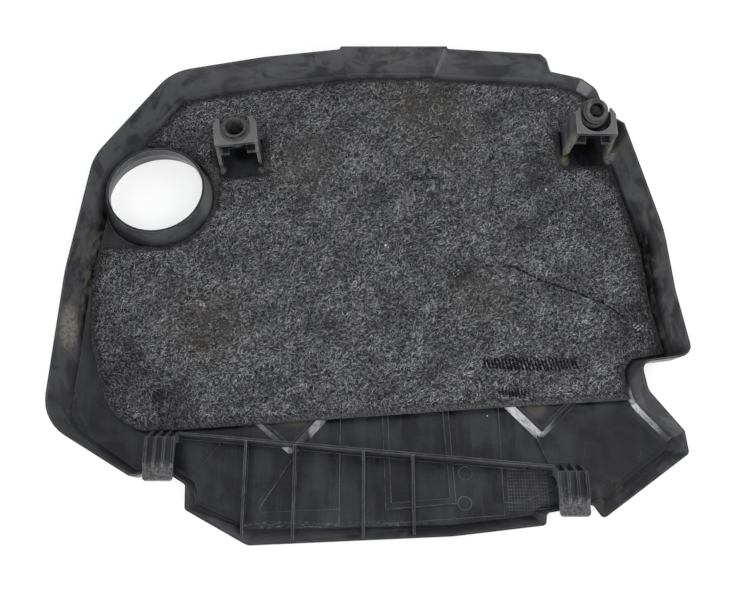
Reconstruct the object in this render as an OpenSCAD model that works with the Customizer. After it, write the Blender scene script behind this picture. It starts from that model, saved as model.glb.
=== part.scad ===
// Engine cover, lying on its show face with the engine side up.
// X runs along the cover, Y from its front lip to its back skirt, Z away from the show face.

/* [Overall] */
// Length of the cover over its rim
cover_l = 490; // [460:1:530]
// Width of the cover from front lip to back skirt
cover_w = 434; // [410:1:470]
// Height of the skirt's rim above the show face
skirt_h = 35; // [30:0.5:42]
// Height of the low front lip
lip_h = 14; // [12.5:0.5:18]
// Height of the flange at the lower right corner
flange_h = 20; // [17:0.5:24]
// Height of the low rounded rim at the upper right corner
low_rim_h = 18; // [16:0.5:22]
// Moulded wall thickness
wall = 2.8; // [2.4:0.1:3.4]
// Thickness of the rim's edge, to which the wall tapers
rim_t = 1.4; // [1:0.1:2]
// Radius of the rounded edge between show face and skirt
edge_r = 11; // [8:0.5:12]

/* [Show face relief] */
// How far the middle panel stands out of the show face
panel_rise = 2; // [1.2:0.1:2.2]
// Depth of the two V grooves in the show face
vee_depth = 3; // [2:0.1:3.6]
// Run of the sloped facets that bound panel and grooves
facet_run = 5; // [3:0.5:7]
// Depth of the sunk triangle inside each V
vee_sink = 1.4; // [0.8:0.1:1.8]
// Width of the band between the sunk triangle and the facets
vee_band = 3; // [2:0.2:5]

/* [Front bay ribs] */
// Thickness of the ribs
rib_t = 1.8; // [1.2:0.1:2.6]
// Height of the long rib's top edge
long_rib_h = 17; // [15:0.5:20]
// Width of the raised frame on the bay floor
frame_w = 4.4; // [3:0.2:6]
// Height of the raised frame
frame_rise = 1.2; // [0.8:0.1:2]
// Depth of the channel that holds the raised frame
channel_depth = 0.8; // [0.4:0.1:1]
// Radius of the ejector marks
ejector_r = 5.1; // [4:0.1:6]

/* [Oil filler collar] */
// Outer radius of the collar at its mouth
collar_r = 41.2; // [38:0.2:43]
// Wall of the collar at its mouth
collar_wall = 2.2; // [1.8:0.1:3]
// How much the collar widens towards the show face
collar_draft = 5.4; // [3:0.2:6]
// Height of the collar's mouth
collar_h = 24; // [20:0.5:30]
// Height of the straight bore at the mouth
mouth_h = 7; // [5:0.5:10]

/* [Bracket towers] */
// Height of the bracket's top plate
bracket_h = 48; // [42:0.5:54]
// Thickness of the top plate
plate_t = 3; // [2.4:0.1:4]
// Thickness of the side and back walls
leg_t = 2.6; // [2:0.1:3.2]
// Height of the web that closes the back of a tower
web_h = 36.5; // [30:0.5:38]
// Lean of the left tower's side walls in degrees
left_lean = 1; // [0:0.5:3]
// Lean of the right tower's inboard wall in degrees
right_lean = 8; // [4:0.5:9]
// Width of the left top plate
left_plate_w = 36; // [34:0.5:40]
// Width of the right top plate
right_plate_w = 34; // [33:0.5:38]
// Radius of the seat for the grommet
seat_r = 12.6; // [11.5:0.1:13.4]
// Distance from the seat's centre to the plate's front edge
seat_front = 14.6; // [14.2:0.1:16]
// Distance from the seat's centre to the plate's back edge, where the seat is open
seat_back = 12; // [11:0.1:14]
// Reach of the ledges that hold the grommet from below
ledge_l = 10.5; // [9.5:0.5:11]
// Width of the ledges along the side walls
ledge_w = 12.5; // [10:0.5:14]

/* [Grommets] */
// Clearance between grommet and seat
seat_gap = 0.3; // [0.2:0.05:0.6]
// Radius of the stud bore
stud_r = 6; // [5:0.1:6.6]
// Radius of the grommet's lower body
grommet_body_r = 10.4; // [9.6:0.1:11]
// Length of the lower body under the flange
grommet_body_l = 12.5; // [10:0.5:15]
// Height of the round lip around the mouth
mouth_lip_h = 2.6; // [2:0.1:3.4]
// Tilt of the loose right grommet in degrees
loose_tilt = 25; // [15:1:28]

/* [Hooks] */
// Width of the hook tongues
hook_w = 22; // [18:0.5:26]
// Length of the hook tongues
hook_l = 32; // [28:0.5:38]
// Thickness of the hook tongues
hook_t = 3; // [2.4:0.1:4]
// Height of the tongue's upper face
hook_h = 27; // [24:0.5:31]
// Height of the ribs along a tongue
hook_rib_h = 2.6; // [1.6:0.1:3.4]

/* [Felt pad] */
// Thickness of the felt in its middle
felt_t = 5; // [3:0.5:8]
// Thickness of the pressed hem
hem_t = 3.4; // [2:0.2:5]
// Width of the pressed hem
hem_w = 3.6; // [2:0.2:6]
// Radius of the weld dimples
dimple_r = 6; // [4:0.5:8]
// Depth of the weld dimples
dimple_depth = 2; // [1:0.2:3]
// Clearance around the felt, above what carries it and beside the walls
felt_gap = 0.3; // [0.2:0.05:0.6]

/* [Hidden] */
$fn = 96;

// The outline is drawn from a datum under the pad and stretched to the asked length and width
drawn = [490, 434];
datum = [2.5, 21];
function at(p) = [
    (p[0] - datum[0]) * cover_l / drawn[0],
    (p[1] - datum[1]) * cover_w / drawn[1]
];

// Levels of the show face and of the floor above it
panel_z = 0;
field_z = panel_z + panel_rise;
groove_z = field_z + vee_depth;
field_floor = field_z + wall;
panel_floor = panel_z + wall;
groove_floor = groove_z + wall;
felt_z = groove_floor + felt_gap;
root = 1.3;
floor_dip = 0.6;
least_round = 3;

// Rim corners, counter-clockwise from the lower left:
// x, y, rim height, flare of the wall below it, corner radius, steps round the corner
rim = [
    [-242.5, -109, skirt_h, 9, 38, 7],
    [-172, -151, skirt_h - 3, 5, 4, 3],
    [-164, -141, lip_h, 3, 1.5, 1],
    [-149.5, -143.5, lip_h, 3, 2, 1],
    [-136.5, -151.5, lip_h, 4, 2.5, 2],
    [-135.5, -170, lip_h, 7, 3, 2],
    [-88, -196, lip_h, 12, 10, 3],
    [60, -189.5, lip_h, 8.5, 100, 2],
    [128.5, -181.5, lip_h, 8.5, 3, 2],
    [129.8, -172.6, lip_h, 5, 2, 1],
    [163.7, -166.7, lip_h, 4, 1.5, 1],
    [170, -177.5, flange_h - 4, 11, 3, 3],
    [238, -129.5, flange_h, 11, 4, 3],
    [237, -112, flange_h, 8, 3, 2],
    [212.5, -81, flange_h + 4, 10, 14, 3],
    [209.5, -59.5, flange_h + 6, 6, 6, 4],
    [246.8, -57.1, skirt_h, 8, 9, 4],
    [240.5, -2, skirt_h, 10, 120, 2],
    [238.5, 52, skirt_h, 10, 120, 2],
    [218, 156, skirt_h, 10, 8, 3],
    [213, 168, skirt_h - 9, 8, 60, 2],
    [206.5, 186, low_rim_h, 8, 30, 2],
    [202, 205, low_rim_h, 8, 14, 4],
    [190, 216, low_rim_h, 8, 10, 2],
    [163, 223.5, low_rim_h, 6, 30, 1],
    [157, 225.5, skirt_h - 2, 8, 2, 1],
    [151.5, 229.5, skirt_h, 10, 3, 2],
    [69.5, 235.2, skirt_h, 11, 1, 1],
    [69, 238, skirt_h, 12, 1, 1],
    [-25.5, 238, skirt_h, 12, 1, 1],
    [-27, 234.7, skirt_h, 11, 1, 1],
    [-94, 226.2, skirt_h, 11, 150, 2],
    [-173.6, 210.3, skirt_h, 11, 40, 6],
    [-232, 122, skirt_h, 11, 50, 5],
    [-241.8, 15, skirt_h, 10, 150, 2]
];

// Felt outline before its cut-outs: x, y, corner radius, steps
felt = [
    [-222, -34, 60, 5],
    [-202, -93, 40, 6],
    [-176, -109, 22, 5],
    [-140, -107.5, 60, 3],
    [85, -91, 200, 2],
    [207, -83.5, 3, 2],
    [202, -58, 6, 3],
    [206.5, -50, 5, 3],
    [234, -45.5, 3, 2],
    [227, 3, 100, 3],
    [225, 56, 100, 3],
    [212.5, 137.5, 4, 2],
    [196, 197, 14, 4],
    [182, 211, 12, 3],
    [158, 217.5, 30, 2],
    [69, 226, 100, 2],
    [-27, 225, 100, 2],
    [-95, 215.3, 120, 3],
    [-166, 200, 34, 6],
    [-198.5, 152, 3, 2],
    [-172, 143.5, 3, 2],
    [-180, 97, 1, 1],
    [-180, 50.5, 3, 2],
    [-229.5, 50.5, 3, 2]
];

collar_at = at([-179.5, 96.5]);
left_seat = at([-112.5, 140.5]);
right_seat = at([190.5, 150.5]);
left_turn = 7;
right_turn = -1;
hooks = [at([-155, -119.5]), at([148, -145.5])];
dimples = [at([-164.5, -81]), at([71, 26]), at([215, -22]), at([166, 199]), at([-142, 177])];

// The middle panel of the show face and the two V grooves beside it: x, y, corner radius, steps
panel = [
    [-89, -173, 2, 1],
    [114, -165, 3, 1],
    [146, -152, 3, 1],
    [131, -114, 4, 1],
    [138, 140, 20, 4],
    [-70, 150, 20, 4],
    [-60, -127, 4, 1]
];
vees = [
    [[-60, -127, 1, 1], [-12, -71, 3, 2], [-113, -80, 3, 2]],
    [[131.5, -114, 1, 1], [176, -70, 3, 2], [87, -66, 3, 2]]
];
channel = [[-22.5, 60], [-22.5, -180.5], [100, -172], [100, 60]];
eps = 0.01;

// Rib lines, raised frame and ejector marks of the front bay, in the outline's own drawing
long_rib = [[-143, -113], [137, -138.3]];
panel_edge_x = -58;
cross_ribs = [-93, -56, -4.5, 32.5];
frame_corners = [[9.5, -80], [12, -168], [64.5, -163.5], [60.5, -80]];
ejectors = [[72.5, -140], [71, -163]];
ejector_depth = 0.4;

// Rows of rim along the front lip, and how far below its edge the cross ribs end
lip_rows = [for (i = [5:8]) rim[i]];
rib_step = 1.4;

// Foot of the hooks' webs and gussets behind the ridge, and length of the plain pad
hook_foot_z = field_z + 0.4;
web_foot = 7;
gusset_foot = 14.2;
gusset_top = [-0.5, hook_h + hook_rib_h];
pad_l = 8;
pad_step = 4;
hook_round = 2.5;

// Flange of the grommets below and above the plate's top face, and their whole length
flange_low = 1.6;
flange_top = 1;
grommet_l = grommet_body_l + flange_low + flange_top + mouth_lip_h;

// Tower: top of its ledges, both faces of its back web, corner cuts of its plate and walls
ledge_z = bracket_h - flange_low - grommet_body_l - seat_gap;
web_front = grommet_body_r + seat_gap;
web_back = web_front + leg_t;
plate_cut = [3.5, 6];
leg_cut = [5, 14];
leg_lap = 0.5;

// How far behind its seat the loose grommet's upper end stands
loose_back = 5;

// The post that stands on the middle panel, and how much a post is smaller than its dimple
panel_post = 1;
post_step = 1.5;

// What the felt leaves free beside walls more than its gap, and in front of the towers
felt_slack = 0.7;
tower_front = 7;

// Plane vector helpers
function unit(v) = v / norm(v);
function turned(v) = [-v[1], v[0]];
function plane(p) = [p[0], p[1]];
function cross2(a, b) = a[0] * b[1] - a[1] * b[0];

// Corner i of an outline: unit vectors of the edges before and after it
function edge_in(c, i) = unit(plane(c[i]) - plane(c[(i + len(c) - 1) % len(c)]));
function edge_out(c, i) = unit(plane(c[(i + 1) % len(c)]) - plane(c[i]));

// Corner i moved inwards so that both of its edges move by d
function inset_corner(c, i, d) =
    let (a = turned(edge_in(c, i)), b = turned(edge_out(c, i)))
    plane(c[i]) + d * (a + b) / (1 + a * b);

// Radius of corner i after that move, smaller where the outline bulges, larger where it dents
function inset_radius(c, i, r, d) =
    cross2(edge_in(c, i), edge_out(c, i)) > 0 ? max(r - d, min(r, least_round)) : r + max(d, 0);

// Points of a round of radius r at q between its neighbours p and s
function round_at(p, q, s, r, n) =
    let (
        u = unit(p - q),
        v = unit(s - q),
        half = acos(max(-1, min(1, u * v))) / 2,
        reach = min(r / tan(half), 0.46 * norm(p - q), 0.46 * norm(s - q)),
        a = q + u * reach,
        b = q + v * reach
    )
    [for (k = [0:n]) let (t = k / n, w = 1 / sin(half))
        (pow(1 - t, 2) * a + 2 * t * (1 - t) * q * sin(half) + pow(t, 2) * b)
        / (pow(1 - t, 2) + 2 * t * (1 - t) * sin(half) + pow(t, 2))];

// Whole outline of x, y, radius, steps rows moved inwards by d
function rounded(c, d = 0) =
    let (
        m = [for (row = c) concat(at(plane(row)), [row[2], row[3]])],
        q = [for (i = [0:len(m) - 1]) inset_corner(m, i, d)]
    )
    [for (i = [0:len(m) - 1])
        let (p = q[(i + len(m) - 1) % len(m)], s = q[(i + 1) % len(m)])
        each round_at(p, q[i], s, inset_radius(m, i, m[i][2], d), m[i][3])];

// Solid between outline c inset by d0 at height z0 and by d1 at height z1
module loft(c, d0, z0, d1, z1) {
    block(
        [for (p = rounded(c, d0)) [p[0], p[1], z0]],
        [for (p = rounded(c, d1)) [p[0], p[1], z1]]
    );
}

// Solid between two rings of as many points
module block(low, high) {
    n = len(low);
    polyhedron(
        points = concat(low, high),
        faces = concat(
            [[for (i = [0:n - 1]) i]],
            [for (i = [0:n - 1]) [i, i + n, (i + 1) % n + n]],
            [for (i = [0:n - 1]) [i, (i + 1) % n + n, (i + 1) % n]],
            [[for (i = [n - 1:-1:0]) i + n]]
        )
    );
}

// Section of the skirt under a rim row: inset and height of five points from the rim down, on
// the outer skin where out is 0 and on the inner one where it is 1. The fourth lies at the edge
// of the flat floor, and the last one carries its facet on below the floor's level. The rounded
// edge reaches up a quarter of the wall's height at most.
function section(row, out) =
    let (
        base = field_z + out * wall,
        height = row[2] - field_z,
        slope = row[3] / height,
        skin = out * wall * norm([1, slope]),
        foot = slope * (row[2] - base) + skin,
        run = min(edge_r * tan(atan2(1, slope) / 2), height / 4),
        lift = run / norm([1, slope]),
        start = foot - slope * lift,
        middle = (start + 3 * foot + run) / 4
    )
    [
        [out * rim_t, row[2]], [start, base + lift], [middle, base + lift / 4], [foot + run, base],
        [foot + run + (foot + run - middle) * floor_dip / (lift / 4), base - floor_dip]
    ];

// Inset of that skin at height z
function inset_at(row, out, z) = lookup(z, [for (s = section(row, out)) [s[1], s[0]]]);

// Rim rows in the part's frame
rim_rows = [for (row = rim) concat(at(plane(row)), [row[2], row[3], row[4], row[5]])];

// One ring of the shell, at point s of the section
function shell_ring(out, s) =
    let (
        m = rim_rows,
        q = [for (i = [0:len(m) - 1])
            let (level = section(m[i], out)[s])
            concat(inset_corner(m, i, level[0]), [level[1], inset_radius(m, i, m[i][4], level[0])])]
    )
    [for (i = [0:len(m) - 1])
        let (
            p = q[(i + len(m) - 1) % len(m)],
            c = q[i],
            n = q[(i + 1) % len(m)],
            flat_pts = round_at(plane(p), plane(c), plane(n), c[3], m[i][5])
        )
        each [for (f = flat_pts) [f[0], f[1], ring_height(f, p, c, n)]]];

// Outline of the room between the walls at height z, moved inwards by d
function room(z, d) = outline_inside([for (row = rim_rows) inset_at(row, 1, z) + d]);

// Rim outline with each corner moved inwards by its own depth
function outline_inside(depth) =
    let (m = rim_rows, q = [for (i = [0:len(m) - 1]) inset_corner(m, i, depth[i])])
    [for (i = [0:len(m) - 1])
        let (p = q[(i + len(m) - 1) % len(m)], n = q[(i + 1) % len(m)])
        each round_at(p, q[i], n, inset_radius(m, i, m[i][4], depth[i]), m[i][5])];

// Height at point f near corner c, running straight towards the neighbours p and n
function ring_height(f, p, c, n) =
    let (
        to_p = plane(p) - plane(c),
        to_n = plane(n) - plane(c),
        away = plane(f) - plane(c),
        share_p = max(0, away * to_p) / (to_p * to_p),
        share_n = max(0, away * to_n) / (to_n * to_n)
    )
    share_p > share_n ? c[2] + (p[2] - c[2]) * share_p : c[2] + (n[2] - c[2]) * share_n;

// Skirt in one wall thickness, lofted ring by ring up the outer skin and down the inner one,
// closed a little below the levels of the floor's two faces
module skirt() {
    steps = [4, 2, 1, 0];
    rings = concat([for (s = steps) shell_ring(0, s)], [for (k = [3:-1:0]) shell_ring(1, steps[k])]);
    n = len(rings[0]);
    last = len(rings) - 1;
    polyhedron(
        points = [for (ring = rings) each ring],
        faces = concat(
            [[for (i = [0:n - 1]) i]],
            [for (k = [0:last - 1], i = [0:n - 1])
                let (a = k * n, b = a + n, j = (i + 1) % n)
                each [[a + i, b + i, b + j], [a + i, b + j, a + j]]],
            [[for (i = [n - 1:-1:0]) last * n + i]]
        )
    );
}

// Skirt and flat floor: the skirt is cut off flat at the show face, and the floor fills it up
module dish() {
    intersection() {
        skirt();
        translate([-cover_l, -cover_w, field_z]) cube([2 * cover_l, 2 * cover_w, 2 * skirt_h]);
    }
    translate([0, 0, field_floor - 2 * floor_dip]) linear_extrude(2 * floor_dip)
        polygon([for (p = shell_ring(1, 2)) plane(p)]);
}

// Plate of thickness t whose side view is drawn in Y and Z, centred on X = 0
module side_view(t, points) {
    translate([-t / 2, 0, 0]) rotate([90, 0, 90]) linear_extrude(t) polygon(points);
}

// Clear distance that keeps one wall thickness between two parallel facets
function facet_skin(run, rise) = wall * (norm([run, rise]) - run) / rise;

function between(a, b, share) = a + (b - a) * share;
ramp_y = at([0, -129])[1];
ramp_run = ramp_y - at([0, -171])[1];
ramp_angle = atan(panel_rise / ramp_run);

// Prism over the panel from its sloping lower face at height low up to height top
module panel_block(inset, low, top) {
    intersection() {
        translate([0, 0, low]) linear_extrude(top - low) polygon(rounded(panel, inset));
        side_view(cover_l, [
            [cover_w / 2, low - 1], [cover_w / 2, top + 1], [ramp_y - ramp_run, top + 1],
            [ramp_y - ramp_run, low + panel_rise], [ramp_y, low], [ramp_y, low - 1]
        ]);
    }
}

// Everything drawn on the sloping front part of the channel's floor
module on_ramp() {
    translate([0, ramp_y, panel_floor - channel_depth]) rotate([-ramp_angle, 0, 0]) children();
}

// Cut of the channel that runs forward over the panel's floor and up its slope
module channel_cut() {
    low = panel_floor - channel_depth;
    front = ramp_y - ramp_run;
    intersection() {
        translate([0, 0, low]) linear_extrude(lip_h) polygon([for (p = channel) at(p)]);
        side_view(cover_l, [
            [cover_w / 2, low], [cover_w / 2, lip_h], [-cover_w / 2, lip_h],
            [-cover_w / 2, low + panel_rise], [front, low + panel_rise], [ramp_y, low]
        ]);
    }
}

module collar() {
    translate([collar_at[0], collar_at[1], field_z + root])
        cylinder(h = collar_h - field_z - root, r1 = collar_r + collar_draft, r2 = collar_r);
}

module collar_bore() {
    mouth_r = collar_r - collar_wall;
    translate([collar_at[0], collar_at[1], 0]) {
        translate([0, 0, -eps])
            cylinder(h = collar_h - mouth_h + eps, r1 = mouth_r + collar_draft, r2 = mouth_r);
        translate([0, 0, collar_h - mouth_h - eps]) cylinder(h = mouth_h + 2 * eps, r = mouth_r);
    }
}

// Distance of the middle of a tower's side wall from the seat's centre plane at height z
function leg_middle(plate_w, lean, z) = plate_w / 2 - leg_lap - leg_t / 2 + (bracket_h - z) * tan(lean);

// Bracket tower around a seat: plate with a seat open to the back, side walls, web and ledges
module bracket(seat, turn, plate_w, lean_left, lean_right) {
    half = plate_w / 2;
    top = plate_t / 2;
    drop = bracket_h - field_floor + root;
    corner = seat_back - plate_cut[1];
    back = web_back + leg_lap;
    front = leg_lap - seat_front;
    leans = [lean_left, lean_right];
    translate([seat[0], seat[1], 0]) rotate([0, 0, turn]) {
        difference() {
            translate([0, 0, bracket_h - plate_t]) linear_extrude(plate_t) polygon([
                [-half, -seat_front], [half, -seat_front], [half, corner],
                [half - plate_cut[0], seat_back], [plate_cut[0] - half, seat_back], [-half, corner]
            ]);
            translate([0, 0, bracket_h - plate_t - eps]) cylinder(h = plate_t + 2 * eps, r = seat_r);
            translate([-seat_r, 0, bracket_h - plate_t - eps])
                cube([2 * seat_r, seat_back + eps, plate_t + 2 * eps]);
        }
        for (side = [0, 1])
            mirror([1 - side, 0, 0])
                translate([leg_middle(plate_w, 0, 0), 0, bracket_h]) rotate([0, -leans[side], 0])
                    side_view(leg_t, [
                        [front, -top], [corner - leg_lap, -top], [seat_back - leg_lap, -plate_cut[1]],
                        [back, web_h + leg_lap - bracket_h], [back, -drop],
                        [leg_cut[0] + front, -drop], [front, leg_cut[1] - drop]
                    ]);
        translate([0, web_back, 0]) rotate([90, 0, 0]) linear_extrude(leg_t) polygon([
            for (p = [[-1, field_floor - root], [1, field_floor - root], [1, web_h], [-1, web_h]])
                [p[0] * leg_middle(plate_w, leans[p[0] > 0 ? 1 : 0], p[1]), p[1]]
        ]);
        for (side = [-1, 1]) {
            reach = leg_middle(plate_w, leans[side > 0 ? 1 : 0], ledge_z);
            inner = half - ledge_l;
            translate([side * (reach + inner) / 2 - (reach - inner) / 2, front + leg_lap, ledge_z - leg_t])
                cube([reach - inner, ledge_w, leg_t]);
        }
    }
}

// Reach of the hooks' gussets behind the ridge at height z
function gusset_reach(z) = lookup(z, [[hook_foot_z, gusset_foot], [gusset_top[1], gusset_top[0]]]);

// Ribbed tongue with gussets down to the floor
module hook(place) {
    low_z = hook_h - hook_t;
    rib_z = hook_h - 1;
    half = hook_w / 2;
    translate([place[0], place[1], 0]) {
        intersection() {
            side_view(2 * hook_w, [
                [-2 * hook_l, low_z], [-hook_t, low_z], [web_foot - hook_t, hook_foot_z],
                [web_foot, hook_foot_z], [1, hook_h], [-2 * hook_l, hook_h]
            ]);
            linear_extrude(2 * hook_h) polygon(round_loop([
                [-half, -hook_l, hook_round], [half, -hook_l, hook_round],
                [half, gusset_foot, eps], [-half, gusset_foot, eps]
            ]));
        }
        for (k = [0:3])
            translate([(k - 1.5) * (hook_w - rib_t) / 3, 0, 0]) side_view(rib_t, [
                [pad_l - hook_l, rib_z], [-hook_t, rib_z], [web_foot - hook_t, hook_foot_z],
                [gusset_foot, hook_foot_z], gusset_top, [pad_l + pad_step - hook_l, gusset_top[1]]
            ]);
    }
}

function round_loop(c) =
    [for (i = [0:len(c) - 1]) each round_at(
        plane(c[(i + len(c) - 1) % len(c)]), plane(c[i]), plane(c[(i + 1) % len(c)]), c[i][2], 4)];

// Height y of the front lip's outer edge at x, in the outline's own drawing
function lip_y(x) = lookup(x, [for (row = lip_rows) plane(row)]);

// Middle of the front lip's wall at height z
function lip_middle(z) = (inset_at(lip_rows[1], 0, z) + inset_at(lip_rows[1], 1, z)) / 2;

// Point of the long rib's line at x, in the outline's own drawing
function on_long_rib(x) =
    between(long_rib[0], long_rib[1], (x - long_rib[0][0]) / (long_rib[1][0] - long_rib[0][0]));

// Long rib between the hooks, its foot stepping down onto the middle panel
module long_rib_wall() {
    from = at(long_rib[0]);
    run = at(long_rib[1]) - from;
    step = norm(at(on_long_rib(panel_edge_x)) - from);
    translate([from[0], from[1], 0]) rotate([0, 0, atan2(run[1], run[0])])
        translate([0, rib_t / 2, 0]) rotate([90, 0, 0]) linear_extrude(rib_t) polygon([
            [0, field_floor - root], [step, field_floor - root], [step, panel_floor - root],
            [norm(run), panel_floor - root], [norm(run), long_rib_h], [0, long_rib_h]
        ]);
}

// Rib from the long rib forward to the lip, at x in the outline's own drawing
module cross_rib(x) {
    start = at(on_long_rib(x));
    edge = at([x, lip_y(x)])[1];
    low_z = field_floor - root;
    foot_z = x < panel_edge_x ? low_z : panel_floor - root;
    translate([start[0], 0, 0]) side_view(rib_t, concat(
        [[start[1], long_rib_h - rib_step / 2], [start[1], foot_z]],
        [[ramp_y, foot_z], [ramp_y - ramp_run, low_z]],
        [for (z = [low_z, (low_z + lip_h) / 2, lip_h - rib_step]) [edge + lip_middle(z), z]]
    ));
}

// Ribs of the front bay
module rib_lattice() {
    long_rib_wall();
    for (x = cross_ribs) cross_rib(x);
}

// Raised frame on the panel's floor, following its slope in front
module raised_frame() {
    outer = [for (p = frame_corners) at(p)];
    intersection() {
        linear_extrude(lip_h) difference() {
            polygon(outer);
            polygon([for (i = [0:len(outer) - 1]) inset_corner(outer, i, frame_w)]);
        }
        side_view(cover_l, [
            [0, panel_floor - root], [0, panel_floor + frame_rise], [ramp_y, panel_floor + frame_rise],
            [ramp_y - ramp_run, field_floor + frame_rise], [ramp_y - ramp_run, field_floor - root],
            [ramp_y, panel_floor - root]
        ]);
    }
}

// Posts that carry the felt at its weld dimples
module weld_posts() {
    for (k = [0:len(dimples) - 1]) {
        bottom = (k == panel_post ? panel_floor - channel_depth : field_floor) - root;
        translate([dimples[k][0], dimples[k][1], bottom])
            cylinder(h = groove_floor - bottom, r = dimple_r - post_step, $fn = 48);
    }
}

module ejector_marks() {
    on_ramp() for (p = ejectors)
        translate([at(p)[0], at(p)[1] - ramp_y, -ejector_depth])
            cylinder(h = ejector_depth + 1, r = ejector_r, $fn = 48);
}

// Raised back of a V groove, one wall above the groove's own skin
vee_rise = groove_floor - panel_floor;
vee_slope = facet_run / vee_rise;
vee_foot_z = (field_z + panel_floor) / 2;
module vee_back(v) {
    loft(v, vee_slope * (vee_foot_z - field_floor), vee_foot_z,
        vee_slope * (groove_floor - field_floor), groove_floor);
}

// Hollow of a V groove from the show face, and the sunk triangle on its back
module vee_hollow(v) {
    skin = facet_skin(facet_run, vee_rise);
    rise = vee_slope * (field_floor - panel_floor);
    top = facet_run - rise;
    loft(v, skin - vee_slope - rise, panel_z - 1, skin + top, groove_z);
    loft(v, top + vee_band, groove_floor - vee_sink, top + vee_band - 1, groove_floor + 1);
}

module cover_shell() {
    color([0.09, 0.09, 0.1]) difference() {
        union() {
            difference() {
                union() {
                    dish();
                    panel_block(0, panel_z, field_z + wall / 2);
                }
                panel_block(wall, panel_floor, field_floor + 1);
                channel_cut();
            }
            for (v = vees) vee_back(v);
            collar();
            rib_lattice();
            raised_frame();
            weld_posts();
            bracket(left_seat, left_turn, left_plate_w, left_lean, left_lean);
            bracket(right_seat, right_turn, right_plate_w, right_lean, left_lean);
            for (place = hooks) hook(place);
        }
        for (v = vees) vee_hollow(v);
        collar_bore();
        ejector_marks();
    }
}

// Room around a tower at the felt's level, with d more on every side
module tower_room(seat, turn, plate_w, lean_left, lean_right, d) {
    low = bracket_h - felt_z;
    more = felt_gap + felt_slack + d;
    left = plate_w / 2 + low * tan(lean_left) + more;
    right = plate_w / 2 + low * tan(lean_right) + more;
    front = seat_front + tower_front + d;
    translate(seat) rotate(turn)
        translate([-left, -front]) square([left + right, front + web_back + more]);
}

// Felt in plan, moved inwards by d along its edge and its cut-outs
module felt_plan(d) {
    difference() {
        intersection() {
            polygon(rounded(felt, d));
            polygon(room(felt_z, felt_gap + felt_slack + d));
        }
        translate(collar_at) circle(r = collar_r + collar_draft + felt_gap + d);
        tower_room(left_seat, left_turn, left_plate_w, left_lean, left_lean, d);
        tower_room(right_seat, right_turn, right_plate_w, right_lean, left_lean, d);
        for (place = hooks)
            translate([place[0] - hook_w / 2 - felt_gap - d, place[1] - hook_l])
                square([hook_w + 2 * (felt_gap + d), hook_l + gusset_reach(felt_z) + felt_gap + d]);
    }
}

module felt_pad() {
    color([0.2, 0.2, 0.21]) difference() {
        union() {
            translate([0, 0, felt_z]) linear_extrude(hem_t) felt_plan(0);
            translate([0, 0, felt_z + hem_t - 0.5]) linear_extrude(felt_t - hem_t + 0.5) felt_plan(hem_w);
        }
        for (p = dimples) translate([p[0], p[1], felt_z + felt_t - dimple_depth])
            cylinder(h = dimple_depth + 1, r = dimple_r, $fn = 48);
    }
}

// Rubber grommet: the plate's top is at Z = 0, the mouth points up
module grommet() {
    flange_r = seat_r - seat_gap;
    end = -flange_low - grommet_body_l;
    neck_r = grommet_body_r - 0.8;
    groove_r = grommet_body_r - 1.6;
    lip_r = grommet_body_r - 0.6;
    lip_top = flange_top + mouth_lip_h;
    color([0.06, 0.06, 0.065]) rotate_extrude() polygon([
        [stud_r, end], [grommet_body_r - 2, end], [grommet_body_r - 1.1, end + 0.5],
        [neck_r, end + 1.4], [grommet_body_r - 1.1, end + 2.6], [groove_r, end + 3],
        [groove_r, end + 4], [grommet_body_r, end + 4.4], [grommet_body_r, end + 7],
        [neck_r, end + 7.6], [neck_r, -flange_low],
        [flange_r, -flange_low], [flange_r, flange_top - 0.5], [flange_r - 0.5, flange_top],
        [lip_r, flange_top], [lip_r, lip_top - 1], [lip_r - 0.4, lip_top - 0.2], [lip_r - 1, lip_top],
        [lip_r - 1.8, lip_top - 0.3], [stud_r, -flange_low - 1]
    ]);
}

module grommet_left() {
    translate([left_seat[0], left_seat[1], bracket_h]) rotate([0, 0, left_turn]) grommet();
}

// The loose grommet stands end up and leans back, its mouth on the web behind its seat
module grommet_right() {
    reach = loose_back + grommet_l * sin(loose_tilt);
    top_z = web_h + seat_gap + (reach - web_front) * tan(loose_tilt) + grommet_l * cos(loose_tilt);
    translate([right_seat[0], right_seat[1], 0]) rotate([0, 0, right_turn])
        translate([0, loose_back, top_z]) rotate([loose_tilt, 0, 0])
            mirror([0, 0, 1]) translate([0, 0, grommet_l - flange_top - mouth_lip_h]) grommet();
}

cover_shell();
felt_pad();
grommet_left();
grommet_right();
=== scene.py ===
"""Looks of the engine cover: moulded plastic, needled felt and rubber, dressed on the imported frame."""
import math

import bpy
import numpy as np
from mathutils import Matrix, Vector, kdtree
from mathutils.bvhtree import BVHTree
from mathutils.geometry import delaunay_2d_cdt


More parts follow.
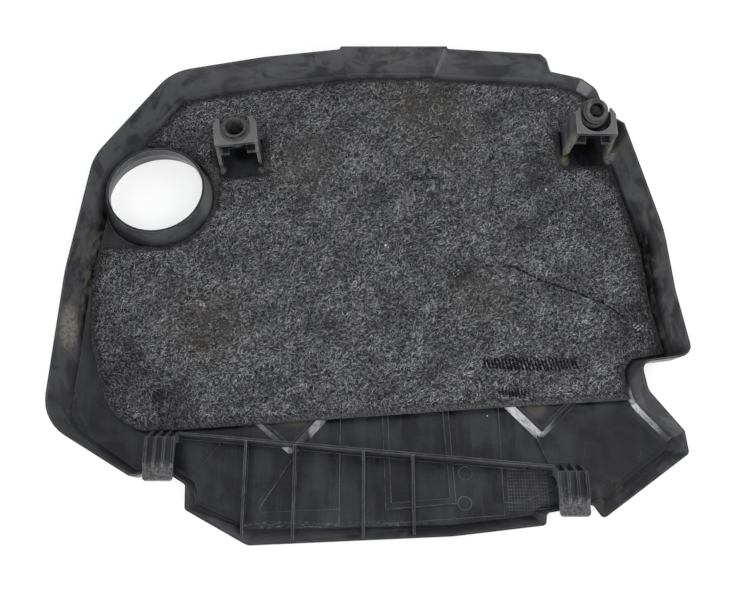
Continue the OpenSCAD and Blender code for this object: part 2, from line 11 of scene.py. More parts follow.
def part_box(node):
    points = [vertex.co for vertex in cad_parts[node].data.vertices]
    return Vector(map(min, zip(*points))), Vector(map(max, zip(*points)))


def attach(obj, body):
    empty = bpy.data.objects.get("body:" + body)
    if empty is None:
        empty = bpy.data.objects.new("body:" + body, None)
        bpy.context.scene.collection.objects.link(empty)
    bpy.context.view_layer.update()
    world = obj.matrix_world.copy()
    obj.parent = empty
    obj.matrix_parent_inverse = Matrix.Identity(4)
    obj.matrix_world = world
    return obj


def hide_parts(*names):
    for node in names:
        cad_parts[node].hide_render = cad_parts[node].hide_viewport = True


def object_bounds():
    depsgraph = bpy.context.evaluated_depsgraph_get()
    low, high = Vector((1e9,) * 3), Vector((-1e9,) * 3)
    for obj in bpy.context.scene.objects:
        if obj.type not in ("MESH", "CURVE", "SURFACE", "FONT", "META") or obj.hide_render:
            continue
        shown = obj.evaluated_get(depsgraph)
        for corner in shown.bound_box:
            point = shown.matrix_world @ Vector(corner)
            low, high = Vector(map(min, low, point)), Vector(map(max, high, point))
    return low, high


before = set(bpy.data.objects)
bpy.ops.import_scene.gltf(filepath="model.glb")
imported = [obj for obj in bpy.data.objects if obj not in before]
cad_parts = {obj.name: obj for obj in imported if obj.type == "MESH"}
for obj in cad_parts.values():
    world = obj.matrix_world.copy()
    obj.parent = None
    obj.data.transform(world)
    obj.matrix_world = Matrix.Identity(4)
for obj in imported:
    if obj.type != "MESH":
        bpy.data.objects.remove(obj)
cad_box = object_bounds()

MM = 0.001
BODY = "root"
rng = np.random.default_rng(20240611)

# Datum of the outline's drawing in millimetres: the part's frame starts there
DATUM = np.array([2.5, 21.0])


def at(x, y):
    """Point of the drawing as a point of the part's frame, in millimetres."""
    return np.array([x, y], float) - DATUM


# Camera at the photograph's place: 65 degrees down on the cover, a little in front of it
CAMERA_AT = (-0.0025, -0.3464, 0.7179)
CAMERA_PITCH = 65.0
CAMERA_LENS = 46.86
CAMERA_SENSOR = 36.0

cam_data = bpy.data.cameras.new("camera")
cam_data.lens = CAMERA_LENS
cam_data.sensor_width = CAMERA_SENSOR
cam_data.clip_start = 0.05
cam_data.clip_end = 20.0
camera = bpy.data.objects.new("camera", cam_data)
camera.location = CAMERA_AT
camera.rotation_euler = (math.radians(90.0 - CAMERA_PITCH), 0.0, 0.0)
bpy.context.scene.collection.objects.link(camera)
bpy.context.scene.camera = camera
bpy.context.scene.view_settings.view_transform = "Standard"


# Materials

class Shader:
    """A material, put together one value at a time."""

    def __init__(self, name):
        self.material = bpy.data.materials.new(name)
        self.material.use_nodes = True
        self.tree = self.material.node_tree
        self.tree.nodes.clear()
        self.output = self.tree.nodes.new("ShaderNodeOutputMaterial")
        self.bsdf = self.tree.nodes.new("ShaderNodeBsdfPrincipled")
        self.link(self.bsdf.outputs[0], self.output.inputs["Surface"])
        self.coord = self.tree.nodes.new("ShaderNodeTexCoord").outputs["Object"]

    def link(self, source, target):
        self.tree.links.new(source, target)

    def set(self, node, socket, value):
        """Sets a socket to a number, a colour or another node's output."""
        if isinstance(value, bpy.types.NodeSocket):
            self.link(value, node.inputs[socket])
        else:
            node.inputs[socket].default_value = value

    def finish(self, **values):
        """Sets the surface's own inputs and gives back the material."""
        for name, value in values.items():
            self.set(self.bsdf, name.replace("_", " "), value)
        return self.material

    def mapped(self, scale, rotation=0.0, offset=(0.0, 0.0, 0.0)):
        """Object coordinates in units of the given sizes in millimetres, turned about Z."""
        turn = self.tree.nodes.new("ShaderNodeMapping")
        turn.inputs["Rotation"].default_value = (0.0, 0.0, math.radians(rotation))
        self.link(self.coord, turn.inputs["Vector"])
        size = self.tree.nodes.new("ShaderNodeMapping")
        sizes = (scale,) * 3 if isinstance(scale, (int, float)) else scale
        size.inputs["Scale"].default_value = [1.0 / (MM * s) for s in sizes]
        size.inputs["Location"].default_value = offset
        self.link(turn.outputs[0], size.inputs["Vector"])
        return size.outputs[0]

    def noise(self, scale, detail=2.0, rough=0.5, rotation=0.0, offset=(0.0, 0.0, 0.0), warp=0.0):
        """Cloudy pattern whose patches have the given size in millimetres."""
        node = self.tree.nodes.new("ShaderNodeTexNoise")
        node.inputs["Scale"].default_value = 1.0
        node.inputs["Detail"].default_value = detail
        node.inputs["Roughness"].default_value = rough
        node.inputs["Distortion"].default_value = warp
        self.link(self.mapped(scale, rotation, offset), node.inputs["Vector"])
        return node.outputs["Fac"]

    def ramp(self, value, low, high, start=0.0, end=1.0):
        """Smooth rise of value from start at low to end at high."""
        node = self.tree.nodes.new("ShaderNodeMapRange")
        node.interpolation_type = "SMOOTHSTEP"
        self.set(node, "Value", value)
        node.inputs["From Min"].default_value = low
        node.inputs["From Max"].default_value = high
        node.inputs["To Min"].default_value = start
        node.inputs["To Max"].default_value = end
        return node.outputs["Result"]

    def math(self, operation, a, b):
        """Result of an operation on two values."""
        node = self.tree.nodes.new("ShaderNodeMath")
        node.operation = operation
        self.set(node, 0, a)
        self.set(node, 1, b)
        return node.outputs[0]

    def strongest(self, values):
        """The greatest of several values."""
        total = values[0]
        for value in values[1:]:
            total = self.math("MAXIMUM", total, value)
        return total

    def mix(self, share, a, b):
        """Colour a where share is 0 and colour b where it is 1."""
        node = self.tree.nodes.new("ShaderNodeMix")
        node.data_type = "RGBA"
        self.set(node, "Factor", share)
        for name, value in (("A", a), ("B", b)):
            socket = next(s for s in node.inputs if s.name == name and s.type == "RGBA")
            if isinstance(value, bpy.types.NodeSocket):
                self.link(value, socket)
            else:
                socket.default_value = (*value, 1.0)
        return next(s for s in node.outputs if s.type == "RGBA")

    def vector(self, operation, *values):
        """Node of an operation on vectors."""
        node = self.tree.nodes.new("ShaderNodeVectorMath")
        node.operation = operation
        for k, value in enumerate(values):
            self.set(node, k, value)
        return node

    def near(self, place, radii, soft=0.5):
        """1 inside an ellipsoid at place with these radii, in millimetres, falling to 0 outside it."""
        away = self.vector("SUBTRACT", self.coord, [MM * p for p in place])
        away = self.vector("MULTIPLY", away.outputs[0], [1.0 / (MM * r) for r in radii])
        length = self.vector("LENGTH", away.outputs[0])
        return self.ramp(length.outputs["Value"], 1.0 - soft, 1.0 + soft, 1.0, 0.0)

    def near_any(self, places, soft):
        """The strongest of near() over several places."""
        return self.strongest([self.near(place, radii, soft) for place, radii in places])

    def tinted(self, base, places, soft, share, colour):
        """Base with a colour laid over it at each of the places, as far as share says."""
        for place, radii in places:
            base = self.mix(self.math("MULTIPLY", self.near(place, radii, soft), share), base, colour)
        return base

    def upward(self, source):
        """Z share of a vector."""
        split = self.tree.nodes.new("ShaderNodeSeparateXYZ")
        self.link(source, split.inputs[0])
        return split.outputs["Z"]

    def level(self):
        """1 where the surface faces straight up, 0 on an upright wall."""
        return self.upward(self.tree.nodes.new("ShaderNodeTexCoord").outputs["Normal"])

    def height(self):
        """Height above the part's lowest point in millimetres."""
        return self.math("MULTIPLY", self.upward(self.coord), 1.0 / MM)

    def edges(self, radius):
        """Rises towards 1 where the surface turns within a radius in millimetres."""
        bevel = self.tree.nodes.new("ShaderNodeBevel")
        bevel.samples = 4
        bevel.inputs["Radius"].default_value = radius * MM
        normal = self.tree.nodes.new("ShaderNodeNewGeometry").outputs["Normal"]
        dot = self.vector("DOT_PRODUCT", bevel.outputs[0], normal)
        return self.ramp(dot.outputs["Value"], 0.80, 0.985, 1.0, 0.0)

    def attribute(self, name):
        """Number stored at the piece's points."""
        node = self.tree.nodes.new("ShaderNodeAttribute")
        node.attribute_name = name
        return node.outputs["Fac"]

    def bump(self, height, depth, normal=None):
        """Bump of a height between 0 and 1, of the given depth in millimetres."""
        node = self.tree.nodes.new("ShaderNodeBump")
        node.inputs["Distance"].default_value = depth * MM
        node.inputs["Strength"].default_value = 1.0
        self.link(height, node.inputs["Height"])
        if normal is not None:
            self.link(normal, node.inputs["Normal"])
        return node.outputs["Normal"]


# Tones of the plastic: walls and level faces from dark to light, the walls painted lighter as painted light;
# a cloud tone for the walls, painted shade at their foot, a painted highlight on the collar's flank, painted
# reflections on the floor and painted shade in a floor corner
LIT_WALLS = (0.036, 0.0365, 0.040), (0.076, 0.077, 0.082)
FLATS = (0.0036, 0.0040, 0.0060), (0.0130, 0.0136, 0.0170)
WALL_CLOUD = (0.060, 0.0595, 0.061)
WALL_FOOT_SHADE = (0.008, 0.008, 0.009)
FLANK_HIGHLIGHT = (0.12, 0.12, 0.122)
PAINTED_REFLECTION = (0.036, 0.037, 0.043)
CORNER_SHADE = (0.0036, 0.0040, 0.0058)
# Tones of the dust, the dirt and the wear on it, of the painted shade in gaps, creases and the towers'
# insides, and of the painted highlights on edges and slopes
DUST = (0.085, 0.074, 0.060)
BROWN_DUST = (0.066, 0.059, 0.051)
GREY_DUST = (0.130, 0.129, 0.127)
CREVICE_SHADE = (0.003, 0.003, 0.0035)
GRIT = (0.115, 0.114, 0.114)
SPECK = (0.16, 0.155, 0.145)
TOWER_SHADE = (0.003, 0.003, 0.003)
WORN = (0.23, 0.215, 0.18)
SCUFF = (0.32, 0.32, 0.33)
SCRATCH = (0.085, 0.085, 0.088)
EDGE_HIGHLIGHT = (0.255, 0.255, 0.258)
GLINT_TONE = (0.30, 0.30, 0.305)
# Tones of the felt, its hem, its fibres, the welds, the mould's lines, the lint and the rubber, with a
# lighter grey for the tilted grommet face and painted shade for the bores
FELT_TONES = (0.0035, 0.0035, 0.004), (0.30, 0.30, 0.308)
PRESSED_TONES = (0.030, 0.030, 0.031), (0.090, 0.090, 0.093)
FELT_STAIN = (0.05, 0.043, 0.034)
FIBRE_TONES = (0.004, 0.004, 0.005), (0.62, 0.62, 0.635)
FIBRE_STAIN = (0.055, 0.045, 0.034)
WELD_TONES = (0.05, 0.05, 0.052), (0.38, 0.38, 0.39)
LINE_TONES = (0.018, 0.018, 0.021), (0.060, 0.060, 0.064)
LINT_TONES = (0.45, 0.45, 0.44), (0.85, 0.85, 0.83)
RUBBER_TONES = (0.020, 0.020, 0.021), (0.052, 0.051, 0.050)
TILTED_FACE_GREY = (0.066, 0.066, 0.066)
BORE_SHADE = (0.002, 0.002, 0.002)

# Places on the part: middle and radii of ellipsoids in millimetres
# The front bay, its right corner where shade is painted, and the flank of the filler collar where a highlight
# is painted
FRONT_BAY = ((25.0, -160.0, 0.0), (175.0, 48.0, 30.0))
SHADED_CORNER = ((186.0, -146.0, 5.0), (34.0, 30.0, 9.0))
COLLAR_FLANK = ((-139.5, 76.0, 17.0), (6.0, 22.0, 15.0))
# Dusty stretches of the side walls, the back wall and the lower right flange
DUSTY_SIDES = [
    ((-235.0, 22.0, 22.0), (13.0, 70.0, 24.0)),
    ((232.0, -10.0, 24.0), (16.0, 80.0, 20.0)),
    ((10.0, 212.0, 22.0), (60.0, 12.0, 22.0)),
    ((182.0, -182.0, 12.0), (22.0, 14.0, 14.0)),
]
# Worn front faces of the two towers and a worn patch of the left wall
WORN_PLACES = [
    ((-130.0, 106.5, 24.0), (3.6, 4.5, 26.0)),
    ((-96.5, 106.5, 24.0), (3.6, 4.5, 26.0)),
    ((168.0, 116.0, 24.0), (5.0, 8.0, 26.0)),
    ((206.0, 118.0, 24.0), (4.5, 8.0, 26.0)),
    ((-239.5, -50.0, 22.0), (8.0, 18.0, 12.0)),
]
# Upper faces of the two towers, where the plastic is dusty and grey
DUSTY_PLATES = [
    ((-113.0, 120.0, 48.0), (26.0, 24.0, 7.0)),
    ((187.0, 130.0, 48.0), (30.0, 26.0, 7.0)),
]
# Insides of the two towers, where shade is painted
SHADED_TOWER_INSIDES = [
    ((-113.0, 123.0, 22.0), (13.5, 13.5, 21.0)),
    ((187.0, 132.0, 22.0), (15.5, 13.5, 21.0)),
]
# Dusty floor between the slopes of the V-shaped steps
BROWN_FLATS = [
    ((-62.0, -118.0, 4.0), (17.0, 9.0, 5.0)),
    ((126.0, -108.0, 5.0), (9.0, 11.0, 5.0)),
]
# Gritty ends of the two hooks
PADS = [
    ((-158.0, -168.0, 27.0), (16.0, 9.0, 5.0)),
    ((147.0, -194.0, 27.0), (15.0, 9.0, 5.0)),
]
# Gaps between the pad and the side walls, where shade is painted
SHADED_GAPS = [
    ((233.0, 30.0, 5.0), (14.0, 105.0, 16.0)),
    ((-224.0, 0.0, 4.0), (11.0, 90.0, 13.0)),
]
# Slopes of the floor's V-shaped steps and of the strip on the flange: painted highlight in place of their
# silver glint, and lower roughness
GLINT_PLACES = [
    ((-78.0, -131.0, 5.0), (24.0, 20.0, 9.0)),
    ((-43.0, -126.0, 4.0), (7.0, 9.0, 7.0)),
    ((118.0, -121.0, 6.0), (18.0, 20.0, 9.0)),
    ((206.0, -115.0, 7.0), (17.0, 20.0, 9.0)),
]
# Whitish scuffs along the front lip and on the ends of the two hooks
SCUFFED_PLACES = [
    ((-60.0, -200.5, 5.0), (44.0, 2.6, 4.0)),
    ((10.0, -199.0, 5.0), (30.0, 2.2, 4.0)),
    ((138.0, -183.0, 28.0), (6.0, 5.0, 4.0)),
    ((-158.0, -170.0, 27.0), (15.0, 7.0, 6.0)),
    ((147.0, -193.0, 27.0), (14.0, 7.0, 6.0)),
]
# Bores of the two grommets, where shade is painted, and the face of the one that stands out of its seat
BORES = [
    (tuple((low + high) / 2 / MM for low, high in zip(*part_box(name))), (5.2, 5.2, 60.0))
    for name in ("grommet_left", "grommet_right")
]
TILTED_FACE = ((185.4, 144.0, 58.0), (11.0, 11.0, 5.0))


def moulded_plastic():
    """Black moulded polyamide: fine grain, blotches where it was handled, dust and scuffs, with painted
    light: lighter walls, painted shade in gaps, a corner, the towers and at the wall foot, and painted
    highlights and reflections.
    """
    s = Shader("moulded_plastic")
    blotch = s.noise((34.0, 22.0, 16.0), detail=5.0, rough=0.62, rotation=24.0, warp=0.6)
    cloud = s.noise(75.0, detail=3.0, offset=(3.1, 7.7, 0.4))
    level = s.level()

    walls = s.mix(s.ramp(blotch, 0.40, 0.58), *LIT_WALLS)
    walls = s.mix(s.ramp(cloud, 0.45, 0.7, 0.0, 0.45), walls, WALL_CLOUD)
    # Painted shade: the walls darken towards their foot, down beside the pad
    walls = s.mix(s.ramp(s.height(), 3.0, 17.0), WALL_FOOT_SHADE, walls)
    # Painted shade in the gaps between the pad and the side walls
    walls = s.tinted(walls, SHADED_GAPS, 0.25, 1.0, CREVICE_SHADE)
    # Painted highlight on the right flank of the filler collar, in place of its glossy reflection
    walls = s.tinted(walls, [COLLAR_FLANK], 0.5, 1.0, FLANK_HIGHLIGHT)

    flats = s.mix(s.ramp(blotch, 0.42, 0.62), *FLATS)
    # Painted reflections: lighter bluish streaks on the front bay and clouds on all level faces stand in for
    # the glossy floor's varied reflections
    streak = s.ramp(s.noise((3.4, 46.0, 9.0), detail=4.0, rough=0.6, offset=(0.3, 0.6, 0.9)), 0.50, 0.66)
    streak = s.math("MULTIPLY", streak, s.near(*FRONT_BAY, soft=0.3))
    flats = s.mix(s.math("MULTIPLY", streak, 0.28), flats, PAINTED_REFLECTION)
    cloudy = s.ramp(s.noise((16.0, 52.0, 9.0), detail=3.0, rough=0.5, offset=(4.0, 1.0, 2.0)), 0.42, 0.64)
    flats = s.mix(s.math("MULTIPLY", cloudy, 0.5), flats, PAINTED_REFLECTION)
    # Painted shade in the right corner of the front bay
    flats = s.tinted(flats, [SHADED_CORNER], 0.15, 0.7, CORNER_SHADE)
    flats = s.tinted(flats, BROWN_FLATS, 0.3, 0.75, BROWN_DUST)
    flats = s.tinted(flats, DUSTY_PLATES, 0.2, 0.85, GREY_DUST)
    # Painted light: upright faces take the lighter wall tones and level faces the darker ones, by which way
    # each face turns
    base = s.mix(s.ramp(level, 0.80, 0.97), walls, flats)

    dust = s.ramp(s.noise((9.0, 16.0, 9.0), detail=6.0, rough=0.7, offset=(9.0, 2.0, 5.0)), 0.47, 0.66)
    dust = s.math("MULTIPLY", s.near_any(DUSTY_SIDES, soft=0.5), dust)
    base = s.mix(s.math("MULTIPLY", dust, 0.75), base, DUST)
    # Painted shade inside the two hollow towers
    base = s.tinted(base, SHADED_TOWER_INSIDES, 0.15, 1.0, TOWER_SHADE)
    worn = s.ramp(s.noise(2.6, detail=5.0, rough=0.75), 0.34, 0.58)
    worn = s.math("MULTIPLY", s.near_any(WORN_PLACES, soft=0.35), worn)
    base = s.mix(s.math("MULTIPLY", worn, 0.85), base, WORN)
    scuffed = s.ramp(s.noise((2.6, 1.3, 2.0), detail=6.0, rough=0.8, offset=(2.0, 1.0, 1.0)), 0.50, 0.70)
    scuffed = s.math("MULTIPLY", s.near_any(SCUFFED_PLACES, soft=0.4), scuffed)
    base = s.mix(s.math("MULTIPLY", scuffed, 0.6), base, SCUFF)
    grit = s.ramp(s.noise(1.9, detail=6.0, rough=0.8, offset=(7.0, 3.0, 1.0)), 0.42, 0.60, 0.15, 1.0)
    base = s.tinted(base, PADS, 0.4, grit, GRIT)

    scratch_a = s.ramp(s.noise((40.0, 0.5, 6.0), detail=2.0, rotation=31.0), 0.69, 0.76)
    scratch_b = s.ramp(s.noise((0.45, 32.0, 6.0), detail=2.0, rotation=12.0), 0.70, 0.77)
    scratch = s.strongest([scratch_a, scratch_b])
    base = s.mix(s.math("MULTIPLY", scratch, 0.30), base, SCRATCH)
    specks = s.ramp(s.noise(0.9, detail=1.0, offset=(5.0, 5.0, 5.0)), 0.765, 0.80)
    base = s.mix(s.math("MULTIPLY", specks, 0.5), base, SPECK)
    # Painted highlight: a lighter tone along every edge that turns within 0.7 mm, broken up by noise
    edge_highlight = s.math("MULTIPLY", s.edges(0.7), s.ramp(s.noise(7.0, detail=3.0), 0.30, 0.60, 0.35, 1.0))
    base = s.mix(s.math("MULTIPLY", edge_highlight, 0.85), base, EDGE_HIGHLIGHT)
    # Painted highlight: the slopes of the V-shaped steps and the flange strip are painted light grey in place
    # of their silver glint; their roughness is lowered too
    slope = s.math("MULTIPLY", s.ramp(level, 0.52, 0.58), s.ramp(level, 0.76, 0.82, 1.0, 0.0))
    glint = s.math("MULTIPLY", s.near_any(GLINT_PLACES, soft=0.3), slope)
    sheen = s.ramp(s.noise((5.0, 5.0, 3.0), detail=4.0, rough=0.7), 0.30, 0.62, 0.35, 1.0)
    base = s.mix(s.math("MULTIPLY", glint, sheen), base, GLINT_TONE)

    rough = s.ramp(blotch, 0.35, 0.68, 0.24, 0.38)
    rough = s.math("SUBTRACT", rough, s.math("MULTIPLY", glint, 0.12))
    rough = s.math("ADD", rough, s.math("MULTIPLY", dust, 0.30))
    rough = s.math("ADD", rough, s.math("MULTIPLY", s.noise(1.6, detail=4.0, rough=0.7), 0.10))
    swell = s.noise(26.0, detail=1.0, offset=(1.0, 2.0, 3.0))
    normal = s.bump(swell, 0.5)
    normal = s.bump(s.noise(0.55, detail=2.0), 0.022, normal)
    normal = s.bump(scratch, 0.03, normal)
    return s.finish(Base_Color=base, Roughness=rough, Normal=normal, Specular_IOR_Level=0.30)


def needled_felt():
    """Charcoal needled fleece below the loose fibres, with a pressed hem, painted shade in its cuts, slits,
    dimples and hem groove, and stains.
    """
    s = Shader("needled_felt")
    strand = s.strongest([
        s.noise((across, 3.4, 2.4), 2.0, 0.55, rotation=turn, offset=(shift, 1.0, 0.0), warp=0.5)
        for turn, across, shift in ((-48.0, 0.62, 0.0), (-22.0, 0.70, 4.0), (-78.0, 0.66, 9.0))
    ])
    mottle = s.noise((15.0, 9.0, 9.0), detail=5.0, rough=0.65, rotation=-42.0)
    light = s.math("MULTIPLY", s.ramp(strand, 0.54, 0.74), s.ramp(mottle, 0.32, 0.66, 0.45, 1.0))
    base = s.mix(light, *FELT_TONES)
    pressed = s.mix(s.ramp(strand, 0.45, 0.75), *PRESSED_TONES)
    base = s.mix(s.math("MULTIPLY", s.attribute("hem"), 0.85), base, pressed)
    # Painted shade in the cuts, slits, dimples and the groove behind the hem, stored in the dark attribute
    base = s.mix(s.ramp(s.attribute("dark"), 0.08, 0.95), base, CREVICE_SHADE)
    base = s.mix(s.math("MULTIPLY", s.attribute("stain"), 0.5), base, FELT_STAIN)
    normal = s.bump(strand, 0.5)
    return s.finish(Base_Color=base, Roughness=0.95, Normal=normal, Specular_IOR_Level=0.25)


def felt_fibre():
    """Single fibres, each with its own tone."""
    s = Shader("felt_fibre")
    base = s.mix(s.attribute("tone"), *FIBRE_TONES)
    base = s.mix(s.math("MULTIPLY", s.attribute("stain"), 0.6), base, FIBRE_STAIN)
    return s.finish(Base_Color=base, Roughness=0.75, Specular_IOR_Level=0.3)


def melted_weld():
    """Felt that was pressed and melted at a weld: smooth, in dark and light grey patches."""
    s = Shader("melted_weld")
    base = s.mix(s.ramp(s.noise(2.2, detail=3.0), 0.42, 0.6), *WELD_TONES)
    return s.finish(Base_Color=base, Roughness=0.3, Normal=s.bump(s.noise(0.5, detail=2.0), 0.05))


def moulded_line():
    """Fine raised lines of the mould, a little lighter where dust holds on to them."""
    s = Shader("moulded_line")
    base = s.mix(s.ramp(s.noise(6.0, detail=3.0), 0.35, 0.65), *LINE_TONES)
    return s.finish(Base_Color=base, Roughness=0.4, Normal=s.bump(s.noise(0.5), 0.01), Specular_IOR_Level=0.4)


def lint():
    """White textile lint."""
    s = Shader("lint")
    base = s.mix(s.noise(0.5, detail=3.0), *LINT_TONES)
    return s.finish(Base_Color=base, Roughness=0.9, Normal=s.bump(s.noise(0.3), 0.1))


def rubber():
    """Dark rubber with a dull bloom, specks of dust, a lighter grey on the tilted face and painted shade in
    the bores.
    """
    s = Shader("rubber")
    bloom = s.noise(4.0, detail=5.0, rough=0.65)
    base = s.mix(s.ramp(bloom, 0.4, 0.68), *RUBBER_TONES)
    # A lighter grey laid on the tilted face of the grommet that stands out of its seat
    base = s.tinted(base, [TILTED_FACE], 0.3, 1.0, TILTED_FACE_GREY)
    specks = s.ramp(s.noise(0.7, detail=2.0), 0.68, 0.75, 0.0, 0.5)
    base = s.mix(specks, base, DUST)
    # Painted shade in the grommets' bores
    base = s.tinted(base, BORES, 0.12, 1.0, BORE_SHADE)
    rough = s.ramp(bloom, 0.3, 0.7, 0.38, 0.62)
    normal = s.bump(s.noise(0.8, detail=4.0, rough=0.7), 0.05)
    return s.finish(Base_Color=base, Roughness=rough, Normal=normal, Specular_IOR_Level=0.5)


PLASTIC = moulded_plastic()
FELT = needled_felt()
FIBRE = felt_fibre()
WELD = melted_weld()
LINES = moulded_line()
LINT = lint()
RUBBER = rubber()


# Turn of a surface in degrees above which its edge is shaded sharp, and above which it is rounded
SHARP_TURN = 28.0
ROUND_TURN = 35.0


def dress_node(name, material, round_edge):
    """Gives a CAD node its finish, smooth shading and softly rounded edges."""
    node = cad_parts[name]
    node.data.materials.clear()
    node.data.materials.append(material)
    node.data.shade_smooth()
    node.data.set_sharp_from_angle(angle=math.radians(SHARP_TURN))
    edge = node.modifiers.new("round_edges", "BEVEL")
    edge.width = round_edge * MM
    edge.segments = 2
    edge.limit_method = "ANGLE"
    edge.angle_limit = math.radians(ROUND_TURN)
    edge.harden_normals = True
    return node


def mesh_piece(name, points, faces, material, flat=False):
    """Mesh object from points in millimetres that rides on the cover."""
    mesh = bpy.data.meshes.new(name)
    points = np.asarray(points, np.float32) * MM
    faces = np.asarray(faces, np.int32)
    mesh.vertices.add(len(points))
    mesh.vertices.foreach_set("co", points.ravel())
    corners = faces.shape[1]
    mesh.loops.add(faces.size)
    mesh.loops.foreach_set("vertex_index", faces.ravel())
    mesh.polygons.add(len(faces))
    mesh.polygons.foreach_set("loop_start", np.arange(0, faces.size, corners, dtype=np.int32))
    mesh.update(calc_edges=True)
    mesh.validate()
    mesh.materials.append(material)
    if not flat:
        mesh.shade_smooth()
    piece = bpy.data.objects.new(name, mesh)
    bpy.context.scene.collection.objects.link(piece)
    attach(piece, BODY)
    return piece


def point_value(piece, name, values):
    """Stores one number for each point of a piece."""
    layer = piece.data.attributes.new(name, "FLOAT", "POINT")
    layer.data.foreach_set("value", np.asarray(values, np.float32))


# Felt pad

FELT_LOW, FELT_HIGH = (np.array(corner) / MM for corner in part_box("felt_pad"))
FELT_BASE = FELT_LOW[2]
FELT_TOP = FELT_HIGH[2]
# Level of the upper face between its waves
FELT_FACE = FELT_TOP - 0.55
# Pressed hem: width, thickness, height of its roll, and depth and width of the groove behind it
HEM_W = 4.2
HEM_T = 3.1
HEM_ROLL = 0.55
GROOVE_DEPTH = 0.9
GROOVE_W = 0.8
# Widths over which the very edge is rounded and over which the felt rises behind the hem
EDGE_ROUND = 1.2
RISE_W = 7.0
# Size, seed and height of the waves in the upper face and in how light the fibres are
FACE_WAVES = [(62.0, 11, 0.35), (17.0, 12, 0.16), (6.0, 13, 0.07)]
SHADE_WAVES = [(34.0, 41, 0.18), (9.0, 42, 0.09), (4.0, 43, 0.05)]
# Thickness of the felt's very edge, and the least that a cut leaves
RIM_T = 0.6
FLOOR_T = 0.35
# Spacing of the mesh along the outline and inside it, and how far a point of the grid is moved
EDGE_STEP = 1.5
GRID_STEP = 1.9
GRID_SHAKE = 0.25
RING_DEPTHS = (0.6, 1.3, 2.2, 3.2, 4.2, 5.3)
# Dimples above the weld posts: radius, radius and step of the finer mesh, place and depth
DIMPLE_R = 7.0
PATCH_R = 9.0
PATCH_STEP = 0.75
DIMPLES = [
    (at(-164.5, -81), 3.4),
    (at(71, 26), 2.2),
    (at(215, -22), 1.8),
    (at(166, 199), 1.3),
    (at(-142, 177), 1.2),
]
# Path, depth and half width of each cut: the long one towards the right wall, those in the middle,
# and the creases beside the dimples and at the front edge
CUTS = [
    ([at(96, 31), at(119, 30), at(140, 18), at(168, 7), at(190, -3), at(204, -14)], 2.0, 0.6),
    ([at(98, 139.5), at(120, 128), at(143, 116)], 1.0, 0.7),
    ([at(53, 222), at(49, 180), at(50, 130), at(49.5, 113), at(55, 91)], 0.6, 0.9),
    ([at(75, 92), at(74, 60)], 1.0, 0.6),
    ([at(37, 114.7), at(57.7, 114.7)], 1.8, 0.9),
    ([at(-164, -75), at(-160, -52), at(-158, -36)], 0.9, 1.6),
    ([at(-170, -74), at(-178, -56)], 0.7, 1.4),
    ([at(205, -20), at(178, -8)], 0.6, 1.5),
    ([at(-142, -109), at(-126, -112), at(-113, -113.5)], 0.8, 1.2),
]
# Embossed rows of slits: middle of the left end, length, height, number of slits
SLIT_ROWS = [(at(88.9, -55.5), 74.5, 13.5, 26), (at(99.5, -79), 24.5, 7.5, 10)]
SLIT_DEPTH = 2.4
# Half width of a slit as a share of the pitch, and how much it leans, in pitches per millimetre
SLIT_HALF = 0.27
SLIT_LEAN = 0.08
# Brownish stains, and places where few light fibres show: middle and radius
STAINS = [
    (at(-62, 127), 26.0),
    (at(60, 165), 30.0),
    (at(44, 195), 34.0),
    (at(-130, -20), 30.0),
    (at(90, 5), 22.0),
]
SHADOWS = [
    (at(-164, -81), 26.0),
    (at(217, -20), 26.0),
    (at(71, 24), 15.0),
    (at(150, 100), 24.0),
    (at(-205, -60), 30.0),
]


def low_loops(node, level):
    """Closed outlines of a CAD node's faces at its lowest level, in millimetres."""
    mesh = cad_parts[node].data
    uses = {}
    for face in mesh.polygons:
        if face.normal.z < -0.9 and abs(face.center.z / MM - level) < 0.05:
            keys = [tuple(round(c / MM, 3) for c in mesh.vertices[v].co[:2]) for v in face.vertices]
            for a, b in zip(keys, keys[1:] + keys[:1]):
                if a == b:
                    continue
                if (b, a) in uses:
                    uses.pop((b, a))
                else:
                    uses[(a, b)] = True
    after = {a: b for a, b in uses}
    loops = []
    while after:
        start, here = next(iter(after.items()))
        after.pop(start)
        loop = [start]
        while here != start and here in after:
            loop.append(here)
            here = after.pop(here)
        loops.append(np.array(loop))
    return [loop for loop in loops if len(loop) > 3]


def resampled(loop, step):
    """The same closed outline with a point about every step."""
    closed = np.vstack([loop, loop[:1]])
    lengths = np.linalg.norm(np.diff(closed, axis=0), axis=1)
    along = np.concatenate([[0.0], np.cumsum(lengths)])
    count = max(8, int(round(along[-1] / step)))
    marks = np.linspace(0.0, along[-1], count, endpoint=False)
    return np.column_stack([np.interp(marks, along, closed[:, k]) for k in (0, 1)])


def inside(points, loops):
    """Which points lie inside the outlines, by counting crossings."""
    result = np.zeros(len(points), bool)
    for loop in loops:
        a, b = loop, np.roll(loop, -1, axis=0)
        for p, q in zip(a, b):
            if p[1] == q[1]:
                continue
            hit = (p[1] > points[:, 1]) != (q[1] > points[:, 1])
            x = p[0] + (points[:, 1] - p[1]) * (q[0] - p[0]) / (q[1] - p[1])
            result ^= hit & (points[:, 0] < x)
    return result


def nearest(points, targets):
    """Distance of each point from the nearest target."""
    tree = kdtree.KDTree(len(targets))
    for k, t in enumerate(targets):
        tree.insert((t[0], t[1], 0.0), k)
    tree.balance()
    return np.array([tree.find((p[0], p[1], 0.0))[2] for p in points])


